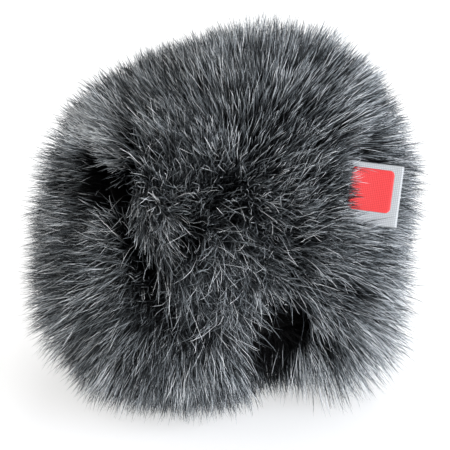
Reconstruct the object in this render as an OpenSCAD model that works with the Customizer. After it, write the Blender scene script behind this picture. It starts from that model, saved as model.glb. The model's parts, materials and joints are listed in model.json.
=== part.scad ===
// Furry windscreen: a slip-on hood of long-pile fake fur for a hand-held sound recorder.
// Millimetres, Z up. The hood lies on a table with its elastic mouth facing -Y.
// The body is round about the mouth line, which runs from the upper left to the lower right.

/* [Body] */
// Half length of the straight core along the mouth line
core_a = 18; // [15:0.5:20]
// Radius of the core across the mouth line
core_r = 22; // [19:0.5:24]
// Rounding of the fur backing around the core
round_r = 28; // [26:0.5:31]
// Slope of the mouth line, degrees from level
slit_roll = 36; // [25:1:45]
// Depth to which the table presses the pile flat
press = 5; // [4.5:0.5:7]
// Distance of each side seam from the middle of the hood
side_d = 35; // [33:0.5:37]
// Turn of the side panels away from the mouth line, degrees
side_tilt = 30; // [26:1:34]
// Turn of the side panels towards the back, degrees
side_back = 11; // [7:1:14]
// Half angle taken up by the crown panel at the back, degrees
crown_deg = 60; // [50:1:70]

/* [Fur] */
// Height at which the pile on the body looks closed, below its loose tips
pile_h = 14; // [12:0.5:16]
// Height at which the pile on the lips looks closed
lip_pile_h = 10.5; // [8:0.5:12]
// Thickness of the knitted backing
backing_t = 1.2; // [0.8:0.1:1.6]
// Thickness of the lining
lining_t = 0.8; // [0.6:0.1:1.2]

/* [Mouth] */
// Half angle of the window in the body that the lips fill, degrees
window_deg = 40; // [38:1:44]
// Angle through which each lip draws back, degrees
lip_travel = 16; // [10:1:17]
// Width of the closed mouth between the lips
slit_gap = 6; // [5:0.5:7]
// Extra width of the hole at the lower right end of the mouth
hole_extra = 9; // [6:0.5:10]
// Extra width of the slot at the upper left end of the mouth
slot_extra = 3; // [1:0.5:5]
// Place of the hole along the mouth line
hole_at = 27; // [25:0.5:28]
// Place of the slot along the mouth line
slot_at = 31; // [28:0.5:33]

/* [Hem] */
// Width of the flat elastic
elastic_w = 3.6; // [3:0.2:4.4]
// Thickness of the flat elastic
elastic_t = 0.9; // [0.7:0.1:1.2]
// Wall of the hem casing
casing_wall = 0.5; // [0.4:0.1:0.7]
// Diameter of the sewing thread
thread_d = 0.7; // [0.5:0.1:0.9]

/* [Label] */
// Width of the label along the seam
label_w = 19; // [16:1:22]
// Length of the folded label
label_l = 19; // [18:1:26]
// Thickness of one leaf of the label
leaf_t = 0.45; // [0.35:0.05:0.6]
// Side of the coloured field on the label
field_w = 13.2; // [10:0.2:14]
// Margin between the field and the folded edge
field_edge = 2.6; // [2:0.2:4]
// Shift of the field up the label
field_rise = 1.2; // [0:0.2:2]
// Place of the label round the mouth line, degrees
label_deg = 74; // [70:1:78]
// Lean of the label away from the mouth, degrees
label_lean = 24; // [18:1:30]
// Swing of the label towards the mouth, degrees
swing_front = 30; // [15:1:35]
// Swing of the label towards the crown, degrees
swing_back = 12; // [5:1:15]

/* [Fits] */
// Gap between layers of cloth
layer_gap = 0.2; // [0.15:0.05:0.3]
// Gap between the lips and the body they slide under
slide_gap = 0.5; // [0.4:0.1:0.8]
// Gap in each seam
seam_gap = 0.3; // [0.2:0.1:0.5]

/* [Hidden] */
$fn = 48;
big = 200;
alpha = atan2(core_r, core_a);
pole_steps = 3;
belt_steps = 8;
mid_z = max(core_a * sin(slit_roll), core_r * cos(slit_roll)) + round_r + pile_h - press;
lining_out = -backing_t - layer_gap;
lining_in = lining_out - lining_t;
lip_out = lining_in - slide_gap;
lip_lining_out = lip_out - backing_t - layer_gap;
lip_lining_in = lip_lining_out - lining_t;
casing_out = lip_lining_in - layer_gap;
casing_h = elastic_t + 2 * layer_gap + 2 * casing_wall;
casing_w = elastic_w + 2 * layer_gap + 2 * casing_wall;
stitch_off = casing_out - casing_h - layer_gap - thread_d / 2;
window_half = core_a + round_r * sin(60);
lip_end = 64;
lip_pole_steps = 2;
lip_cone_steps = 5;
lip_tuck_deg = 6;
lip_pile_deg = window_deg - lip_travel - 1;
lip_rows = 6;
tape_w = 7;
tape_t = 0.5;
tape_out = lining_in - layer_gap;
tack_half_deg = 34;
tack_t = 0.9;
tack_from = 73;
tack_to = 79;
hole_len = 11;
slot_len = 9;
label_root = 0.7;
fold_gap = 0.2;
label_t = 2 * leaf_t + fold_gap;
field_t = 0.15;
label_room = 1.5;
swing_room = 4;
band_gap = 0.2;
corner_gap = 1.2;
end_gap = 0.6;

function flip(v) = [for (k = [len(v) - 1 : -1 : 0]) v[k]];
function on_arc(c, t, off) = c + (round_r + off) * [cos(t), sin(t)];

// Outline of the body in the half plane through the mouth line, at a height above the backing
function rim(off) = [
    for (k = [0 : pole_steps]) on_arc([0, -core_a], -90 + k * (90 - alpha) / pole_steps, off),
    for (k = [0 : belt_steps]) on_arc([core_r, 0], alpha * (2 * k / belt_steps - 1), off),
    for (k = [0 : pole_steps]) on_arc([0, core_a], alpha + k * (90 - alpha) / pole_steps, off)
];

// Stations along a lip: centre and direction of the rounding
stations = [
    for (k = [0 : lip_pole_steps]) [0, -core_a, -lip_end + k * (lip_end - alpha) / lip_pole_steps],
    for (k = [1 : lip_cone_steps - 1]) let (f = k / lip_cone_steps) [core_r * f, core_a * (f - 1), -alpha],
    for (k = [0 : belt_steps]) [core_r, 0, alpha * (2 * k / belt_steps - 1)],
    for (k = [1 : lip_cone_steps - 1]) let (f = k / lip_cone_steps) [core_r * (1 - f), core_a * f, alpha],
    for (k = [0 : lip_pole_steps]) [0, core_a, alpha + k * (lip_end - alpha) / lip_pole_steps]
];
last = len(stations) - 1;

function station(i, off) = on_arc([stations[i][0], stations[i][1]], stations[i][2], off);
function bump(x, half) = abs(x) < half ? 1 - pow(x / half, 2) : 0;
function half_gap(z) = (slit_gap + hole_extra * bump(z + hole_at, hole_len)
    + slot_extra * bump(z - slot_at, slot_len)) / 2;
function edge_deg(i) = let (q = station(i, lip_out)) asin(half_gap(q.y) / q.x);
function arc_deg(i, w) = let (q = station(i, lip_out)) 180 / PI * w / q.x;
function lip_point(i, deg, off) = let (q = station(i, off)) [q.x * cos(deg), q.x * sin(deg), q.y];

// Where the right side seam crosses the backing beside the label
function turn_side(v) = let (y = v.y * cos(side_tilt) - v.z * sin(side_tilt),
    z = v.y * sin(side_tilt) + v.z * cos(side_tilt))
    [v.x * cos(side_back) + z * sin(side_back), y, z * cos(side_back) - v.x * sin(side_back)];
side_dir = turn_side([0, 0, -1]);
function label_spot(t) = let (q = on_arc([core_r, 0], -t, 0))
    [q.x * cos(label_deg), q.x * sin(label_deg), q.y];
function seam_t(lo, hi, n) = n == 0 ? lo : let (t = (lo + hi) / 2)
    label_spot(t) * side_dir > side_d ? seam_t(lo, t, n - 1) : seam_t(t, hi, n - 1);
label_t_deg = seam_t(0, alpha, 24);
label_at = label_spot(label_t_deg);
label_up = [cos(label_t_deg) * cos(label_deg), cos(label_t_deg) * sin(label_deg), -sin(label_t_deg)];
seam_run = cross(side_dir, label_up) / norm(cross(side_dir, label_up));
seam_back = cross(label_up, seam_run);
label_dir = cos(label_lean) * label_up + sin(label_lean) * seam_back;
label_face = cross(label_dir, seam_run);

// Sets the hood on the table with the mouth line sloping
module lay() {
    translate([0, 0, mid_z]) rotate([0, slit_roll - 90, 0]) rotate([0, 0, -90]) children();
}

// Skin of the body between two heights, over a turn about the mouth line
module skin(low, high, from, turn) {
    rotate_extrude(angle = turn, start = from) polygon(concat(rim(high), flip(rim(low))));
}

// Space beyond the right (end = 0) or left (end = 180) side seam
module side_space(end, grow) {
    rotate([end, 0, 0]) rotate([side_tilt, side_back, 0])
        translate([-big / 2, -big / 2, -side_d + grow - big]) cube(big);
}

// Window of the mouth, between two places along the mouth line
module window(low, high) {
    rotate_extrude(angle = 2 * window_deg, start = -window_deg)
        translate([1, low]) square([big, high - low]);
}

// One side panel
module side_panel(end, low, high) {
    difference() {
        intersection() {
            skin(low, high, 0, 360);
            side_space(end, -seam_gap / 2);
        }
        window(-window_half, window_half);
    }
}

// One panel of the band between the side panels
module band_panel(from, turn, low, high) {
    difference() {
        skin(low, high, from, turn);
        side_space(0, seam_gap / 2);
        side_space(180, seam_gap / 2);
    }
}

// The face panel wraps the upper left corner of the mouth and the base panel the lower right one
module face_panel(low, high) difference() {
    band_panel(corner_gap - window_deg, 180 - crown_deg - band_gap + window_deg - corner_gap, low, high);
    window(-big, window_half);
}
module crown_panel(low, high) band_panel(180 - crown_deg + band_gap, 2 * (crown_deg - band_gap), low, high);
module base_panel(low, high) difference() {
    band_panel(crown_deg - 180 + band_gap, 180 - crown_deg - band_gap + window_deg - corner_gap, low, high);
    window(-window_half, big);
}

// Frame of the label: along it, along the seam, out of its back leaf
module at_label() {
    multmatrix([
        [label_dir.x, seam_run.x, label_face.x, label_at.x],
        [label_dir.y, seam_run.y, label_face.y, label_at.y],
        [label_dir.z, seam_run.z, label_face.z, label_at.z]]) children();
}

// Parting in the pile in which the label swings
module label_parting() {
    front = swing_front + swing_room;
    back = swing_back + swing_room;
    far = 2 * label_l;
    at_label() rotate([90, 0, 0]) translate([-label_root, 0, -label_w / 2 - label_room])
        linear_extrude(label_w + 2 * label_room)
            polygon([[0, label_t], far * [cos(back), sin(back)],
                far * [cos(front), -sin(front)], [0, -label_t]]);
}

// Keeps the pile above the table
module on_table() {
    intersection() {
        children();
        translate([-big / 2, -big / 2, 0]) cube(big);
    }
}

// Closed solid between two grids of points, rows along the lip
module between(outer, inner, rows, cols, side) {
    n = rows * cols;
    function o(i, j) = i * cols + j;
    faces = [
        for (i = [0 : rows - 2], j = [0 : cols - 2]) [o(i, j), o(i + 1, j), o(i + 1, j + 1), o(i, j + 1)],
        for (i = [0 : rows - 2], j = [0 : cols - 2])
            [n + o(i, j), n + o(i, j + 1), n + o(i + 1, j + 1), n + o(i + 1, j)],
        for (i = [0 : rows - 2]) [o(i + 1, 0), o(i, 0), n + o(i, 0), n + o(i + 1, 0)],
        for (i = [0 : rows - 2], j = [cols - 1]) [o(i, j), o(i + 1, j), n + o(i + 1, j), n + o(i, j)],
        for (j = [0 : cols - 2]) [o(0, j), o(0, j + 1), n + o(0, j + 1), n + o(0, j)],
        for (j = [0 : cols - 2], i = [rows - 1]) [o(i, j + 1), o(i, j), n + o(i, j), n + o(i, j + 1)]
    ];
    points = [for (p = concat(outer, inner)) [p.x, side * p.y, p.z]];
    polyhedron(points, side > 0 ? faces : [for (f = faces) flip(f)]);
}

// Layer of cloth on a lip, from the mouth edge to where it is tucked under the body
module lip_layer(low, high, side) {
    function deg(i, j) = edge_deg(i) + (window_deg + lip_tuck_deg - edge_deg(i)) * j / lip_rows;
    between([for (i = [0 : last], j = [0 : lip_rows]) lip_point(i, deg(i, j), high)],
        [for (i = [0 : last], j = [0 : lip_rows]) lip_point(i, deg(i, j), low)],
        last + 1, lip_rows + 1, side);
}

// Rounded roll of pile along a lip
module lip_roll(side) {
    low = lip_out + layer_gap;
    function deg(i, j) = edge_deg(i) + (lip_pile_deg - edge_deg(i)) * j / lip_rows;
    function swell(j) = sqrt(max(0.09, 1 - pow(2 * j / lip_rows - 0.8, 2) / 1.6));
    function ends(i) = min(1, 0.35 + 0.16 * min(i, last - i));
    function roof(i) = (window_half - end_gap - abs(stations[i][1]))
        / max(0.3, sin(abs(stations[i][2]))) - round_r;
    function high(i, j) = min(roof(i), low + (lip_pile_h - low) * swell(j) * ends(i));
    between([for (i = [0 : last], j = [0 : lip_rows]) lip_point(i, deg(i, j), high(i, j))],
        [for (i = [0 : last], j = [0 : lip_rows]) lip_point(i, deg(i, j), low)],
        last + 1, lip_rows + 1, side);
}

// Corners of a flat section in the hem: how far in from the mouth edge and from the casing's top
function section(i, w0, w1, h0, h1) = [
    lip_point(i, edge_deg(i) + arc_deg(i, w0), casing_out - h0),
    lip_point(i, edge_deg(i) + arc_deg(i, w1), casing_out - h0),
    lip_point(i, edge_deg(i) + arc_deg(i, w1), casing_out - h1),
    lip_point(i, edge_deg(i) + arc_deg(i, w0), casing_out - h1)
];
function sections(first, end, w0, w1, h0, h1) = [for (i = [first : end]) each section(i, w0, w1, h0, h1)];
function wrap(k) = (k + 1) % 4;

// Solid strip swept along the hem
module hem_strip(first, end, w0, w1, h0, h1, side) {
    n = end - first;
    faces = [
        for (i = [0 : n - 1], k = [0 : 3])
            [4 * i + k, 4 * i + 4 + k, 4 * i + 4 + wrap(k), 4 * i + wrap(k)],
        [0, 1, 2, 3],
        [4 * n + 3, 4 * n + 2, 4 * n + 1, 4 * n]
    ];
    points = [for (p = sections(first, end, w0, w1, h0, h1)) [p.x, side * p.y, p.z]];
    polyhedron(points, side > 0 ? faces : [for (f = faces) flip(f)]);
}

// Hollow strip swept along the hem
module hem_tube(first, end, wall, side) {
    n = end - first;
    m = 4 * (n + 1);
    faces = [
        for (i = [0 : n - 1], k = [0 : 3])
            [4 * i + k, 4 * i + 4 + k, 4 * i + 4 + wrap(k), 4 * i + wrap(k)],
        for (i = [0 : n - 1], k = [0 : 3])
            [m + 4 * i + k, m + 4 * i + wrap(k), m + 4 * i + 4 + wrap(k), m + 4 * i + 4 + k],
        for (k = [0 : 3]) [k, wrap(k), m + wrap(k), m + k],
        for (k = [0 : 3]) [4 * n + wrap(k), 4 * n + k, m + 4 * n + k, m + 4 * n + wrap(k)]
    ];
    points = [for (p = concat(sections(first, end, 0, casing_w, 0, casing_h),
        sections(first, end, wall, casing_w - wall, wall, casing_h - wall))) [p.x, side * p.y, p.z]];
    polyhedron(points, side > 0 ? faces : [for (f = faces) flip(f)]);
}

// Straight thread from one point to another
module thread(from, to) {
    d = to - from;
    translate(from) rotate([0, acos(d.z / norm(d)), atan2(d.y, d.x)])
        cylinder(d = thread_d, h = norm(d), $fn = 12);
}

// Row of stitches along the hem
module hem_row(side) {
    for (i = [1 : last - 2]) {
        a = lip_point(i, side * (edge_deg(i) + arc_deg(i, casing_w / 2)), stitch_off);
        b = lip_point(i + 1, side * (edge_deg(i + 1) + arc_deg(i + 1, casing_w / 2)), stitch_off);
        thread(a + 0.2 * (b - a), a + 0.8 * (b - a));
    }
}

// Tape inside a side seam
module seam_tape(end) {
    difference() {
        intersection() {
            skin(tape_out - tape_t, tape_out, 0, 360);
            side_space(end, tape_w / 2);
        }
        side_space(end, -tape_w / 2);
        rotate_extrude(angle = 2 * (window_deg + lip_tuck_deg + lip_travel + 2),
            start = -window_deg - lip_tuck_deg - lip_travel - 2) translate([0, -big / 2]) square(big);
    }
}

// Bar of dense stitches across a corner of the mouth, inside
module corner_tack(end) {
    c = [0, core_a];
    bar = [on_arc(c, tack_from, tape_out), on_arc(c, tack_to, tape_out),
        on_arc(c, tack_to, tape_out - tack_t), on_arc(c, tack_from, tape_out - tack_t)];
    rotate([end, 0, 0]) rotate_extrude(angle = 2 * tack_half_deg, start = -tack_half_deg) polygon(bar);
}

module right_side_pile() color("#5c6063") on_table() lay() difference() {
    side_panel(0, layer_gap, pile_h);
    label_parting();
}
module left_side_pile() color("#5f6366") on_table() lay() side_panel(180, layer_gap, pile_h);
module face_pile() color("#54585b") on_table() lay() difference() {
    face_panel(layer_gap, pile_h);
    label_parting();
}
module crown_pile() color("#575b5e") on_table() lay() crown_panel(layer_gap, pile_h);
module base_pile() color("#6a6e70") on_table() lay() base_panel(layer_gap, pile_h);
module upper_lip_pile() color("#4a4d50") lay() lip_roll(1);
module lower_lip_pile() color("#62666a") lay() lip_roll(-1);

module right_side_backing() color("#242527") lay() side_panel(0, -backing_t, 0);
module left_side_backing() color("#242527") lay() side_panel(180, -backing_t, 0);
module face_backing() color("#242527") lay() face_panel(-backing_t, 0);
module crown_backing() color("#242527") lay() crown_panel(-backing_t, 0);
module base_backing() color("#242527") lay() base_panel(-backing_t, 0);
module upper_lip_backing() color("#242527") lay() lip_layer(lip_out - backing_t, lip_out, 1);
module lower_lip_backing() color("#242527") lay() lip_layer(lip_out - backing_t, lip_out, -1);

module right_side_lining() color("#101012") lay() side_panel(0, lining_in, lining_out);
module left_side_lining() color("#101012") lay() side_panel(180, lining_in, lining_out);
module face_lining() color("#101012") lay() face_panel(lining_in, lining_out);
module crown_lining() color("#101012") lay() crown_panel(lining_in, lining_out);
module base_lining() color("#101012") lay() base_panel(lining_in, lining_out);
module upper_lip_lining() color("#101012") lay() lip_layer(lip_lining_in, lip_lining_out, 1);
module lower_lip_lining() color("#101012") lay() lip_layer(lip_lining_in, lip_lining_out, -1);

module right_seam_tape() color("#1a1a1c") lay() seam_tape(0);
module left_seam_tape() color("#1a1a1c") lay() seam_tape(180);
module upper_hem_casing() color("#1c1c1f") lay() hem_tube(1, last - 1, casing_wall, 1);
module lower_hem_casing() color("#1c1c1f") lay() hem_tube(1, last - 1, casing_wall, -1);
module hem_elastic(side) {
    in = casing_wall + layer_gap;
    hem_strip(0, last, in, casing_w - in, in, casing_h - in, side);
}
module upper_elastic() color("#2c2c30") lay() hem_elastic(1);
module lower_elastic() color("#2c2c30") lay() hem_elastic(-1);
module upper_hem_stitches() color("#3a3a3e") lay() hem_row(1);
module lower_hem_stitches() color("#3a3a3e") lay() hem_row(-1);
module left_bar_tack() color("#303034") lay() corner_tack(0);
module right_bar_tack() color("#303034") lay() corner_tack(180);

// Label folded at its free end
module label_ribbon() color("#c2c2c6") lay() at_label() rotate([90, 0, 0])
    translate([label_root, 0, -label_w / 2]) linear_extrude(label_w) difference() {
        union() {
            translate([0, -label_t / 2]) square([label_l - label_t / 2, label_t]);
            translate([label_l - label_t / 2, 0]) circle(d = label_t);
        }
        translate([-1, -fold_gap / 2]) square([label_l - label_t / 2 + 1, fold_gap]);
    }

// Coloured field on the leaf that faces the mouth
module label_field() color("#eb4a48") lay() at_label()
    translate([label_root + label_l - field_edge - field_w, -field_w / 2 - field_rise,
        -label_t / 2 - field_t]) cube([field_w, field_w, field_t]);

right_side_pile();
left_side_pile();
face_pile();
crown_pile();
base_pile();
upper_lip_pile();
lower_lip_pile();
right_side_backing();
left_side_backing();
face_backing();
crown_backing();
base_backing();
upper_lip_backing();
lower_lip_backing();
right_side_lining();
left_side_lining();
face_lining();
crown_lining();
base_lining();
upper_lip_lining();
lower_lip_lining();
right_seam_tape();
left_seam_tape();
upper_hem_casing();
lower_hem_casing();
upper_elastic();
lower_elastic();
upper_hem_stitches();
lower_hem_stitches();
left_bar_tack();
right_bar_tack();
label_ribbon();
label_field();
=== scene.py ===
"""Furry windscreen: a slip-on hood of long-pile fake fur with a slit mouth and a folded side label."""

import json
import logging
import math
from dataclasses import dataclass, field
from enum import Enum, IntEnum
from typing import Any

import bmesh
import bpy
import numpy as np
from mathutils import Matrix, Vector

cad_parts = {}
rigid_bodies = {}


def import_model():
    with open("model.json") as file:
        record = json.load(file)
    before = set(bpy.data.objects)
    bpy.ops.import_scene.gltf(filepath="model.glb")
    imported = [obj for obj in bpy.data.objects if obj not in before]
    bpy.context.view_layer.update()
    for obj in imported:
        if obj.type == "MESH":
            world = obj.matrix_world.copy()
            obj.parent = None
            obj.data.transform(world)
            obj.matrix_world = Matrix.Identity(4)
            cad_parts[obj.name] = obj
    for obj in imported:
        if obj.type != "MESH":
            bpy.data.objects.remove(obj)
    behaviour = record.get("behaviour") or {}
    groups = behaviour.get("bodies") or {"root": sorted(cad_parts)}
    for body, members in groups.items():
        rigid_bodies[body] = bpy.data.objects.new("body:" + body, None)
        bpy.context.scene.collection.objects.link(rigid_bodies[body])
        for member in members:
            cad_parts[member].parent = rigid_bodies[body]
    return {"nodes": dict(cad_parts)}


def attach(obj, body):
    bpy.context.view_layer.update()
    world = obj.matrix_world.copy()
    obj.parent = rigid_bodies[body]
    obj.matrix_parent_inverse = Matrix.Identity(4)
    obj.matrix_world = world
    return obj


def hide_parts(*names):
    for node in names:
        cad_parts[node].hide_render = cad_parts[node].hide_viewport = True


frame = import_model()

log = logging.getLogger("windscreen")
MM = 0.001
MATH, VECTOR_MATH = "ShaderNodeMath", "ShaderNodeVectorMath"
RANDOM, SPLIT = "FunctionNodeRandomValue", "ShaderNodeSeparateXYZ"
Socket = bpy.types.NodeSocket
Grid = list[list[tuple[np.ndarray, np.ndarray, tuple[float, float]]]]

for spare in [o for o in bpy.data.objects if o.name in ("Cube", "Light", "Camera")]:
    bpy.data.objects.remove(spare)
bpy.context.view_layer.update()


def linear(hex_colour: str) -> tuple[float, float, float, float]:
    """Turns an sRGB hex colour into linear red, green, blue and full alpha."""
    parts = [int(hex_colour[i : i + 2], 16) / 255 for i in (1, 3, 5)]
    return (*[p / 12.92 if p <= 0.04045 else ((p + 0.055) / 1.055) ** 2.4 for p in parts], 1.0)


def add_node(tree: bpy.types.NodeTree, kind: str, inputs: dict | None = None, **settings: Any) -> bpy.types.Node:
    """Adds one node to a tree.

    Args:
        tree: the shader or geometry tree.
        kind: the node's type name.
        inputs: value or source socket for each input, by name or index.
        settings: the node's own properties.

    Returns:
        The new node.
    """
    made = tree.nodes.new(kind)
    for key, value in settings.items():
        setattr(made, key, value)
    for key, value in (inputs or {}).items():
        if isinstance(value, Socket):
            tree.links.new(value, made.inputs[key])
        else:
            made.inputs[key].default_value = value
    return made


def new_material(name: str) -> bpy.types.Material:
    """Makes a material with an empty node tree.

    Args:
        name: the finish's name.

    Returns:
        The new material.
    """
    material = bpy.data.materials.new(name)
    material.use_nodes = True
    material.node_tree.nodes.clear()
    return material


def new_object(name: str, data: Any) -> bpy.types.Object:
    """Puts a mesh, lamp or camera in the scene.

    Args:
        name: the object's name.
        data: what it shows.

    Returns:
        The new object, at the origin.
    """
    made = bpy.data.objects.new(name, data)
    bpy.context.scene.collection.objects.link(made)
    return made


def unit(vectors: np.ndarray) -> np.ndarray:
    """Scales each row to length one."""
    return vectors / np.maximum(np.linalg.norm(vectors, axis=1, keepdims=True), 1e-9)


def eased(low: float, high: float, values: np.ndarray) -> np.ndarray:
    """Rises smoothly from 0 at low to 1 at high."""
    t = np.clip((values - low) / (high - low), 0, 1)
    return t * t * (3 - 2 * t)


@dataclass(frozen=True)
class HoodForm:
    """The hood's body: a rounded double cone turned about the mouth line, in metres."""

    centre: tuple[float, float, float] = (0.0, 0.0, 54.798 * MM)
    core_half: float = 18 * MM
    core_radius: float = 22 * MM
    round_radius: float = 28 * MM
    roll: float = math.radians(36)
    search_steps: int = 400

    def axes(self) -> tuple[np.ndarray, np.ndarray, np.ndarray]:
        """The mouth direction, the upper lip's side, and the mouth line towards the upper left."""
        s, c = math.sin(self.roll), math.cos(self.roll)
        return np.array((0.0, -1.0, 0.0)), np.array((s, 0.0, c)), np.array((-c, 0.0, s))

    def local(self, points: np.ndarray) -> np.ndarray:
        """Points along the mouth direction, the upper side and the mouth line."""
        return (points - np.array(self.centre)) @ np.array(self.axes()).T

    def outward(self, points: np.ndarray) -> np.ndarray:
        """The direction out of the body at each point.

        Args:
            points: places on or near the body.

        Returns:
            Unit directions, away from the nearest point of the double cone's core.
        """
        p = self.local(points)
        r, z = np.hypot(p[:, 0], p[:, 1]), np.abs(p[:, 2])
        a, b = self.core_radius, self.core_half
        t = np.clip((r * a + (b - z) * b) / (a * a + b * b), 0, 1)
        dr, dz = r - t * a, z - (b - t * b)
        r = np.maximum(r, 1e-9)
        flat = np.stack([dr * p[:, 0] / r, dr * p[:, 1] / r, dz * np.sign(p[:, 2])], axis=1)
        return unit(flat @ np.array(self.axes()))

    def turn(self, points: np.ndarray) -> np.ndarray:
        """Degrees round the mouth line, 0 at the slit and positive over the upper lip."""
        p = self.local(points)
        return np.degrees(np.arctan2(p[:, 1], p[:, 0]))

    def round_way(self, turns: np.ndarray) -> np.ndarray:
        """The direction round the mouth line.

        Args:
            turns: degrees round that line.

        Returns:
            Unit directions, towards the upper side.
        """
        mouth, upper, _ = self.axes()
        theta = np.radians(turns)
        return np.outer(-np.sin(theta), mouth) + np.outer(np.cos(theta), upper)

    def at(self, turn: float, along: float) -> np.ndarray:
        """A point of the body's surface.

        Args:
            turn: degrees round the mouth line.
            along: place along the mouth line, in metres, positive to the upper left.

        Returns:
            The point.
        """
        mouth, upper, end = self.axes()
        a, b, z = self.core_radius, self.core_half, abs(along)
        r = 0.0
        for step in range(self.search_steps):
            r = (a + self.round_radius) * (1 - step / self.search_steps)
            t = min(max((r * a + (b - z) * b) / (a * a + b * b), 0), 1)
            if math.hypot(r - t * a, z - (b - t * b)) <= self.round_radius:
                break
        spoke = mouth * math.cos(math.radians(turn)) + upper * math.sin(math.radians(turn))
        return np.array(self.centre) + spoke * r + end * along


FORM = HoodForm()


@dataclass(frozen=True)
class FurFinish:
    """Acrylic long pile, extruded and heat-set.

    It gives the eye black roots that swallow light, tips from black to silver and a faint gloss along each hair. The
    map's first number picks a hair from black to silver, and the second runs from root to tip.
    """

    name: str = "acrylic_fur_pile"
    root: str = "#050506"
    tips: tuple[tuple[float, str], ...] = (
        (0.0, "#0a0b0c"), (0.3, "#35393c"), (0.6, "#8c9296"), (1.0, "#e0e3e5"),
    )
    dark_until: float = 0.28
    silver_from: float = 0.77
    roughness: float = 0.45
    ior: float = 1.49
    gloss: float = 0.07

    def build(self) -> bpy.types.Material:
        """Makes the material.

        Returns:
            The fur, coloured by its own map.
        """
        material = new_material(self.name)
        tree = material.node_tree
        place = add_node(tree, "ShaderNodeUVMap", uv_map="OFBake")
        split = add_node(tree, SPLIT, {0: place.outputs[0]})
        tip = add_node(tree, "ShaderNodeValToRGB", {0: split.outputs[0]})
        stops = tip.color_ramp.elements
        while len(stops) < len(self.tips):
            stops.new(1.0)
        for stop, (where, colour) in zip(stops, self.tips, strict=True):
            stop.position, stop.color = where, linear(colour)
        rise = add_node(
            tree, "ShaderNodeMapRange", {0: split.outputs[1], 1: self.dark_until, 2: self.silver_from},
            interpolation_type="SMOOTHSTEP",
        )
        hair = add_node(
            tree, "ShaderNodeMix", {0: rise.outputs[0], 6: linear(self.root), 7: tip.outputs[0]}, data_type="RGBA",
        )
        shader = add_node(
            tree, "ShaderNodeBsdfPrincipled",
            {
                "Base Color": hair.outputs[2], "Roughness": self.roughness, "IOR": self.ior,
                "Specular IOR Level": self.gloss,
            },
        )
        add_node(tree, "ShaderNodeOutputMaterial", {0: shader.outputs[0]})
        return material


@dataclass(frozen=True)
class ClothFinish:
    """A woven or knitted cloth: two yarn tones and a fine crossing rib, spaced in metres, that the bump raises."""

    # Metres between the bands of a Wave texture of scale one.
    WAVE_PERIOD = 0.314
    WAVER = 0.7
    RELIEF = 0.3
    IOR = 1.5

    name: str
    dark: str
    light: str
    rib: float
    roughness: float = 0.8
    sheen: float = 0.2
    raise_by: float = 0.3
    weave_map: str = ""
    gloss: float = 0.05

    def build(self) -> bpy.types.Material:
        """Makes the material.

        Returns:
            The cloth, with its ribs read from the weave map, or from Object coordinates without one.
        """
        material = new_material(self.name)
        tree = material.node_tree
        if self.weave_map:
            where, ways = add_node(tree, "ShaderNodeUVMap", uv_map=self.weave_map).outputs[0], ("X", "Y")
        else:
            where, ways = add_node(tree, "ShaderNodeTexCoord").outputs["Object"], ("DIAGONAL", "Z")
        warp, weft = (
            add_node(
                tree, "ShaderNodeTexWave",
                {0: where, "Scale": self.WAVE_PERIOD / self.rib, "Distortion": self.WAVER}, bands_direction=way,
            ).outputs["Fac"]
            for way in ways
        )
        weave = add_node(tree, MATH, {0: warp, 1: weft}, operation="MULTIPLY").outputs[0]
        tone = add_node(
            tree, "ShaderNodeMix", {0: weave, 6: linear(self.dark), 7: linear(self.light)}, data_type="RGBA",
        )
        lift = add_node(
            tree, "ShaderNodeBump",
            {"Strength": self.raise_by, "Distance": self.rib * self.RELIEF, "Height": weave},
        )
        shader = add_node(
            tree, "ShaderNodeBsdfPrincipled",
            {
                "Base Color": tone.outputs[2], "Roughness": self.roughness, "IOR": self.IOR,
                "Sheen Weight": self.sheen, "Specular IOR Level": self.gloss, "Normal": lift.outputs[0],
            },
        )
        add_node(tree, "ShaderNodeOutputMaterial", {0: shader.outputs[0]})
        return material


class Draw(IntEnum):
    """What is drawn by chance: steps from the panel's seed, and the locks' own seeds."""

    ROOTS = 0
    LOOSE = 7
    RANK = 13
    PULL = 17
    TONE = 19
    PHASE = 23
    LOCK_WAY = 29
    LOCK_TONE = 31
    BOW = 37
    LOCK_REACH = 41
    STRAY = 43
    LOCKS = 101


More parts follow.
